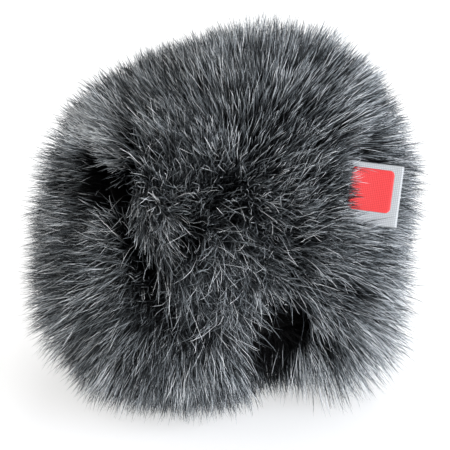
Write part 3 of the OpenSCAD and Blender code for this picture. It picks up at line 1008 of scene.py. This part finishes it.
@dataclass
class FurPanel:
    """One panel of fur: its skin, brushed and grown as three coats of hair."""

    WELD, FACING, LONGEST_EDGE, SPLITS = 1e-6, 0.7, 4 * MM, 5
    MOST_STRETCH, RIM_TURNS, SEED_STEP = 1.45, (8, 36), 500
    SPARE = {*StrandTree.GROOMED, *StrandTree.CARRIED, "UVMap"}

    name: str
    body: str
    comb: Comb = Comb.AWAY
    pile: float = 19.2 * MM
    spread: float = 0.33
    sway: float = 0.75
    curl: float = 0.4 * MM
    bow: float = 0.28
    uneven: float = 0.3
    rim_gain: float = 0.0
    droop: float = 0.1
    more: int = 0
    seed: int = 1
    made: list[bpy.types.Object] = field(default_factory=list)

    def shell(self) -> bpy.types.Mesh:
        """Cuts the outward faces from a copy of the panel's backing, in small triangles.

        Returns:
            The new mesh.
        """
        shell = bmesh.new()
        shell.from_mesh(frame["nodes"][f"{self.name}_backing"].data)
        bmesh.ops.remove_doubles(shell, verts=shell.verts, dist=self.WELD)
        shell.faces.ensure_lookup_table()
        middles = np.array([f.calc_center_median() for f in shell.faces])
        facing = np.sum(np.array([f.normal for f in shell.faces]) * FORM.outward(middles), axis=1)
        inner = [f for f, towards in zip(shell.faces, facing, strict=True) if towards < self.FACING]
        bmesh.ops.delete(shell, geom=inner, context="FACES")
        for _ in range(self.SPLITS):
            bmesh.ops.triangulate(shell, faces=shell.faces)
            long = [e for e in shell.edges if e.calc_length() > self.LONGEST_EDGE]
            if not long:
                break
            bmesh.ops.subdivide_edges(shell, edges=long, cuts=1)
        bmesh.ops.triangulate(shell, faces=shell.faces)
        mesh = bpy.data.meshes.new(f"{self.name}_skin")
        shell.to_mesh(mesh)
        shell.free()
        return mesh

    def skin(self) -> bpy.types.Object:
        """Makes the skin that the hair grows from.

        Returns:
            The panel's outward faces, with their grooming as attributes.
        """
        mesh = self.shell()
        points = np.array([v.co for v in mesh.vertices])
        normals = FORM.outward(points)
        lean = GROOMING.lean(points, normals, self.comb)
        stretch = np.minimum(np.sqrt(1 + np.sum(lean * lean, axis=1)), self.MOST_STRETCH)
        rim = np.zeros(len(points))
        if self.comb is not Comb.AWAY:
            rim = eased(*self.RIM_TURNS, np.abs(FORM.turn(points)))
        numbers = {
            "reach": self.pile * stretch * GROOMING.trim(points) * (1 + self.rim_gain * rim),
            "cover": GROOMING.cover(points),
            "wild": GROOMING.wild(points),
            # Painted shade on the roots, and the tone with its painted light and shade.
            "soot": GROOMING.soot(points),
            "shade": GROOMING.shade(points),
        }
        for name, values in numbers.items():
            mesh.attributes.new(name, "FLOAT", "POINT").data.foreach_set("value", values.astype(np.float32))
        comb = unit(normals + lean).astype(np.float32)
        mesh.attributes.new("comb", "FLOAT_VECTOR", "POINT").data.foreach_set("vector", comb.ravel())
        return new_object(mesh.name, mesh)

    def layer(self, skin: bpy.types.Object, tree: StrandTree, name: str, values: dict[str, Any]) -> None:
        """Grows one coat of hair as a plain mesh at the origin.

        Args:
            skin: the combed skin.
            tree: the strand tree.
            name: the new piece's name.
            values: the tree's inputs for this coat.
        """
        modifier = skin.modifiers.new("fur", "NODES")
        modifier.node_group = tree.tree
        for key, value in values.items():
            modifier[tree.ids[key]] = value
        graph = bpy.context.evaluated_depsgraph_get()
        mesh = bpy.data.meshes.new_from_object(
            skin.evaluated_get(graph), preserve_all_data_layers=True, depsgraph=graph
        )
        skin.modifiers.remove(modifier)
        mesh.name = name
        for attribute in [a.name for a in mesh.attributes if a.name in self.SPARE]:
            mesh.attributes.remove(mesh.attributes[attribute])
        made = new_object(name, mesh)
        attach(made, self.body)
        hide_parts(f"{self.name}_pile")
        self.made.append(made)

    def build(self, tree: StrandTree, finish: bpy.types.Material) -> None:
        """Grows the panel's coats, one piece each.

        Args:
            tree: the strand tree.
            finish: the fur's material.
        """
        skin = self.skin()
        common = {
            "Spread": self.spread, "Sway": self.sway, "Curl": self.curl, "Bow": self.bow, "Droop": self.droop,
            "Uneven": self.uneven, "Finish": finish,
        }
        for step, coat in enumerate(COATS):
            self.layer(skin, tree, f"{self.name}_{coat.name}", common | {
                "Hairs per square metre": coat.density, "Hair width": coat.width,
                "Segments": coat.segments + (self.more if coat.bends else 0), "Shortest": coat.shortest,
                "Lock spacing": coat.lock, "Lock pull": coat.pull, "Tone low": coat.tone[0],
                "Tone high": coat.tone[1], "Seed": self.seed + self.SEED_STEP * step,
            })
        bpy.data.objects.remove(skin)


# Spun and twisted thread: hard little strands with a faint glint.
THREAD = ClothFinish("polyester_thread", "#08080a", "#121214", 0.25 * MM, 0.6, 0.0)


@dataclass
class Hood:
    """The whole hood: seven fur panels and the cloth they are sewn from."""

    panels: tuple[FurPanel, ...] = (
        FurPanel("right_side", "hood", sway=0.95, seed=11),
        FurPanel("left_side", "hood", sway=1.0, seed=22),
        FurPanel("face", "hood", spread=0.28, curl=0.25 * MM, bow=0.18, seed=33),
        FurPanel("crown", "hood", seed=44),
        FurPanel("base", "hood", sway=1.0, seed=55),
        FurPanel(
            "upper_lip", "upper_lip", Comb.RUFFLED, pile=15.2 * MM, rim_gain=0.38, spread=0.38, curl=0.7 * MM,
            bow=0.35, more=2, seed=66,
        ),
        FurPanel(
            "lower_lip", "lower_lip", Comb.LAID, pile=16.0 * MM, rim_gain=0.32, spread=0.38, more=1, seed=77,
        ),
    )
    # Each finish by the ending of its nodes' names. The ribs are drawn about twice as coarse as real ones, to show.
    cloths: tuple[tuple[str, ClothFinish], ...] = (
        # Warp-knitted and dyed black: dull, lumpy rows of loops, seen only down between the hairs.
        ("_backing", ClothFinish("knitted_polyester_backing", "#050505", "#0c0c0d", 0.9 * MM, 0.9, 0.0)),
        # Plain-woven filament: smooth and nearly black, with a low shine inside the mouth.
        ("_lining", ClothFinish("black_nylon_lining", "#040404", "#090909", 0.5 * MM, 0.7, 0.0)),
        # Twill woven: matt black with fine ribs.
        ("_tape", ClothFinish("black_twill_tape", "#050505", "#0c0c0d", 0.6 * MM, 0.9, 0.0)),
        ("_casing", ClothFinish("black_twill_casing", "#030303", "#070707", 0.6 * MM, 0.9, 0.0)),
        # Rubber cords woven over with yarn: high, close ribs.
        ("_elastic", ClothFinish("ribbed_rubber_elastic", "#060607", "#101012", 0.8 * MM, 0.7, 0.0, 0.6)),
        ("_stitches", THREAD),
        ("_tack", THREAD),
    )

    def build(self) -> None:
        """Grows the fur and dresses the cloth."""
        tree, finish = StrandTree(), FurFinish().build()
        for panel in self.panels:
            panel.build(tree, finish)
            for piece in panel.made:
                log.info("%s rides %s with %d faces", piece.name, panel.body, len(piece.data.polygons))
        ready: dict[str, bpy.types.Material] = {}
        for name, node in frame["nodes"].items():
            for ending, cloth in self.cloths:
                if name.endswith(ending):
                    if cloth.name not in ready:
                        ready[cloth.name] = cloth.build()
                    node.material_slots[0].material = ready[cloth.name]
                    log.info("%s dressed as %s", name, cloth.name)


@dataclass
class Label:
    """The side label: a length of woven ribbon folded double, with a red field woven on its front."""

    LEAF_STEPS, FOLD_STEPS, WIDTH_STEPS, FIELD_STEPS = 16, 9, 29, 33

    place: LabelPlace = LABEL_PLACE
    root: float = 0.7 * MM
    reach: float = 19.7 * MM
    leaf: float = 0.45 * MM
    gap: float = 0.2 * MM
    bow: float = 0.5 * MM
    selvage: float = 0.12 * MM
    selvage_in: float = 0.6 * MM
    selvage_width: float = 0.5 * MM
    field_out: tuple[float, float] = (3.9 * MM, 17.1 * MM)
    field_run: tuple[float, float] = (-7.8 * MM, 5.4 * MM)
    field_rise: float = 0.15 * MM
    field_sunk: float = 0.02 * MM
    field_corner: float = 1.6 * MM
    field_rim: float = 0.5 * MM
    field_edge: float = 0.35
    # Satin-woven filament, calendered: even fine ribs with a soft sheen, the same in the ground and in the field. The
    # ribs are drawn about twice as coarse as real ones, to show.
    ribbon: ClothFinish = ClothFinish(
        "grey_satin_ribbon", "#8a8d8f", "#b2b4b6", 0.55 * MM, 0.5, 0.15, 0.4, "weave", 0.5,
    )
    red: ClothFinish = ClothFinish(
        "red_woven_satin", "#b21b1e", "#de3336", 0.55 * MM, 0.5, 0.15, 0.4, "weave", 0.5,
    )

    def spot(self, run: float, out: float, back: float) -> np.ndarray:
        """A place on the label, with its slight bow.

        Args:
            run: place along the seam, from the middle.
            out: place out from the seam.
            back: place behind the label's middle.

        Returns:
            The point.
        """
        p = self.place
        bowed = back + self.bow * math.sin(math.pi * min(max((out - self.root) / (self.reach - self.root), 0), 1))
        return np.array(p.hinge) + np.array(p.run) * run + np.array(p.out) * out + np.array(p.back) * bowed

    def path(self) -> list[tuple[float, float, float, float]]:
        """Follows the ribbon's middle line, out along the front leaf, round the fold and back.

        Returns:
            Place out, place back, and the outer side's direction in the same two ways, at each step.
        """
        half = (self.gap + self.leaf) / 2
        turn_at = self.reach - half - self.leaf / 2
        outs = np.linspace(self.root, turn_at, self.LEAF_STEPS)
        front = [(out, -half, 0.0, -1.0) for out in outs]
        angles = [math.radians(a) for a in np.linspace(-90, 90, self.FOLD_STEPS)[1:-1]]
        fold = [
            (turn_at + half * math.cos(a), half * math.sin(a), math.cos(a), math.sin(a)) for a in angles
        ]
        return front + fold + [(out, half, 0.0, 1.0) for out in outs[::-1]]

    def plate(self, name: str, rows: Grid) -> bpy.types.Object:
        """Makes a thin closed piece from a grid of outer and inner points with a weave map in metres.

        Args:
            name: the piece's name.
            rows: outer point, inner point and map place for each step and row.

        Returns:
            The piece at the origin.
        """
        shape = bmesh.new()
        outer = [[shape.verts.new(cell[0]) for cell in row] for row in rows]
        inner = [[shape.verts.new(cell[1]) for cell in row] for row in rows]
        spot = {v: cell[2] for grid in (outer, inner) for vs, row in zip(grid, rows) for v, cell in zip(vs, row)}
        tall, wide = len(rows), len(rows[0])
        for i in range(tall - 1):
            for j in range(wide - 1):
                shape.faces.new((outer[i][j], outer[i][j + 1], outer[i + 1][j + 1], outer[i + 1][j]))
                shape.faces.new((inner[i][j], inner[i + 1][j], inner[i + 1][j + 1], inner[i][j + 1]))
        rim = [(i, 0) for i in range(tall)] + [(tall - 1, j) for j in range(1, wide)]
        rim += [(i, wide - 1) for i in range(tall - 2, -1, -1)] + [(0, j) for j in range(wide - 2, 0, -1)]
        for (a, b), (c, d) in zip(rim, rim[1:] + rim[:1], strict=True):
            shape.faces.new((outer[a][b], outer[c][d], inner[c][d], inner[a][b]))
        bmesh.ops.recalc_face_normals(shape, faces=shape.faces)
        weave = shape.loops.layers.uv.new("weave")
        for face in shape.faces:
            face.smooth = True
            for loop in face.loops:
                loop[weave].uv = spot[loop.vert]
        mesh = bpy.data.meshes.new(name)
        shape.to_mesh(mesh)
        shape.free()
        return new_object(name, mesh)

    def ribbon_rows(self) -> Grid:
        """Lays out the folded ribbon, with a raised selvage along both edges.

        Returns:
            Outer point, inner point and map place for each step and row.
        """
        half_width = self.place.width / 2
        rows, travelled, before = [], 0.0, None
        for out, back, side_out, side_back in self.path():
            travelled += 0.0 if before is None else math.dist(before, (out, back))
            before = (out, back)
            row = []
            for run in np.linspace(-half_width, half_width, self.WIDTH_STEPS):
                edge = math.exp(-(((half_width - self.selvage_in - abs(run)) / self.selvage_width) ** 2))
                thick = self.leaf / 2 + (self.selvage * edge if abs(back) > 0 else 0.0)
                outer = self.spot(run, out + side_out * thick, back + side_back * thick)
                inner = self.spot(run, out - side_out * self.leaf / 2, back - side_back * self.leaf / 2)
                row.append((outer, inner, (run, travelled)))
            rows.append(row)
        return rows

    def field_rows(self) -> Grid:
        """Lays out the red field, with round corners and a low rim.

        Returns:
            Outer point, inner point and map place for each step and row.
        """
        top = -(self.gap / 2 + self.leaf)
        middle = [sum(side) / 2 for side in (self.field_out, self.field_run)]
        half = [(side[1] - side[0]) / 2 for side in (self.field_out, self.field_run)]
        steps = np.linspace(-1, 1, self.FIELD_STEPS)
        rows = []
        for across in steps:
            row = []
            for along in steps:
                place = [across * half[0], along * half[1]]
                over = [max(abs(p) - h + self.field_corner, 0.0) for p, h in zip(place, half, strict=True)]
                far = math.hypot(*over)
                if min(over) > 0:
                    shrink = max(over) / far
                    place = [
                        math.copysign(h - self.field_corner + o * shrink, p)
                        for p, h, o in zip(place, half, over, strict=True)
                    ]
                    far = max(over)
                inside = min((self.field_corner - far) / self.field_rim, 1.0)
                rise = self.field_rise * (self.field_edge + (1 - self.field_edge) * inside)
                out, run = middle[0] + place[0], middle[1] + place[1]
                inner = self.spot(run, out, top + self.field_sunk)
                row.append((self.spot(run, out, top - rise), inner, (run, out)))
            rows.append(row)
        return rows

    def build(self) -> None:
        """Makes the folded ribbon and its field."""
        ribbon = self.plate("label_folded_ribbon", self.ribbon_rows())
        patch = self.plate("label_red_field", self.field_rows())
        for piece, finish, node in ((ribbon, self.ribbon, "label_ribbon"), (patch, self.red, "label_field")):
            piece.data.materials.append(finish.build())
            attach(piece, "label")
            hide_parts(node)
            log.info("%s rides label with %d faces", piece.name, len(piece.data.polygons))


@dataclass
class Studio:
    """Plain pale floor, soft light and the camera."""

    WHITE, GREY = (1, 1, 1, 1), (0.5, 0.5, 0.5, 1)

    azimuth: float = math.radians(16)
    elevation: float = math.radians(25)
    distance: float = 0.75
    lens: float = 189.0
    sensor: float = 36.0
    nearest: float = 0.01
    aim: tuple[float, float] = (0.95 * MM, -1.27 * MM)
    # Name, place and side in metres, power in watts and colour.
    lamps: tuple[tuple[str, tuple[float, float, float], float, float, str], ...] = (
        ("left_lamp", (-0.95, -0.6, 0.75), 1.0, 6.2, "#fff8f0"),
        ("right_lamp", (1.1, -0.35, 0.5), 1.0, 18.5, "#edf3ff"),
        ("low_lamp", (0.75, -0.85, 0.12), 0.8, 18.5, "#ffffff"),
        ("back_lamp", (0.1, 0.9, 1.2), 0.9, 12.0, "#ffffff"),
    )
    room_light: float = 0.57
    paper: str = "#f2f2f2"
    floor_side: float = 8.0
    floor_glow: float = 0.52
    floor_fade: tuple[float, float] = (0.3, 1.0)

    def camera(self) -> None:
        """Sets the camera at the photograph's angle."""
        a, e = self.azimuth, self.elevation
        back = Vector((math.sin(a) * math.cos(e), -math.cos(a) * math.cos(e), math.sin(e)))
        right = Vector((math.cos(a), math.sin(a), 0))
        up = back.cross(right)
        target = Vector(FORM.centre) + right * self.aim[0] + up * self.aim[1]
        data = bpy.data.cameras.new("studio_camera")
        data.lens, data.sensor_width, data.clip_start = self.lens, self.sensor, self.nearest
        made = new_object("studio_camera", data)
        made.location = target + back * self.distance
        made.rotation_euler = (-back).to_track_quat("-Z", "Y").to_euler()
        bpy.context.scene.camera = made

    def light(self) -> None:
        """Hangs the soft lamps, all facing the hood."""
        for name, place, side, power, colour in self.lamps:
            data = bpy.data.lights.new(name, "AREA")
            data.size, data.energy, data.color = side, power, linear(colour)[:3]
            made = new_object(name, data)
            made.location = place
            made.rotation_euler = (Vector(FORM.centre) - Vector(place)).to_track_quat("-Z", "Y").to_euler()

    def looked_at(self, tree: bpy.types.NodeTree) -> Socket:
        """One for what the camera, a mirror or glass shows, and nothing for the light that falls on the hood.

        Args:
            tree: the floor's or the world's node tree.

        Returns:
            The socket to mix by.
        """
        path = add_node(tree, "ShaderNodeLightPath").outputs
        total = path["Is Camera Ray"]
        for ray in ("Is Glossy Ray", "Is Transmission Ray"):
            total = add_node(tree, MATH, {0: total, 1: path[ray]}, operation="MAXIMUM").outputs[0]
        return total

    def floor(self) -> None:
        """Lays the floor, which keeps the hood's soft shadow and fades to plain white far off."""
        bpy.ops.mesh.primitive_plane_add(size=self.floor_side)
        made = bpy.context.object
        made.name = "studio_floor"
        # Coated paper, smooth and matt: an even white that takes a soft shadow.
        material = new_material("white_paper_floor")
        tree = material.node_tree
        paper = add_node(tree, "ShaderNodeBsdfDiffuse", {"Color": linear(self.paper)})
        dim = add_node(tree, "ShaderNodeBsdfDiffuse", {"Color": self.GREY})
        glow = add_node(tree, "ShaderNodeEmission", {"Color": self.WHITE, "Strength": self.floor_glow})
        near = add_node(tree, "ShaderNodeAddShader", {0: dim.outputs[0], 1: glow.outputs[0]})
        white = add_node(tree, "ShaderNodeEmission", {"Color": self.WHITE, "Strength": 1.0})
        place = add_node(tree, "ShaderNodeTexCoord")
        far = add_node(tree, VECTOR_MATH, {0: place.outputs["Object"]}, operation="LENGTH")
        start, stop = self.floor_fade
        fade = add_node(
            tree, "ShaderNodeMapRange", {0: far.outputs["Value"], 1: start, 2: stop}, interpolation_type="SMOOTHSTEP"
        )
        seen = add_node(tree, "ShaderNodeMixShader", {0: fade.outputs[0], 1: near.outputs[0], 2: white.outputs[0]})
        mix = add_node(
            tree, "ShaderNodeMixShader", {0: self.looked_at(tree), 1: paper.outputs[0], 2: seen.outputs[0]}
        )
        add_node(tree, "ShaderNodeOutputMaterial", {0: mix.outputs[0]})
        made.data.materials.append(material)

    def build(self) -> None:
        """Sets the camera, the lamps, the world and the floor."""
        self.camera()
        self.light()
        world = bpy.data.worlds.new("studio_world")
        world.use_nodes = True
        tree = world.node_tree
        tree.nodes.clear()
        room = add_node(tree, "ShaderNodeBackground", {"Color": self.WHITE, "Strength": self.room_light})
        white = add_node(tree, "ShaderNodeBackground", {"Color": self.WHITE, "Strength": 1.0})
        mix = add_node(
            tree, "ShaderNodeMixShader", {0: self.looked_at(tree), 1: room.outputs[0], 2: white.outputs[0]}
        )
        add_node(tree, "ShaderNodeOutputWorld", {0: mix.outputs[0]})
        bpy.context.scene.world = world
        bpy.context.scene.view_settings.view_transform = "Standard"
        self.floor()


def main() -> None:
    """Builds the studio and the hood."""
    logging.basicConfig(level=logging.INFO, format="%(name)s: %(message)s")
    Studio().build()
    Hood().build()
    Label().build()


if __name__ == "__main__":
    main()
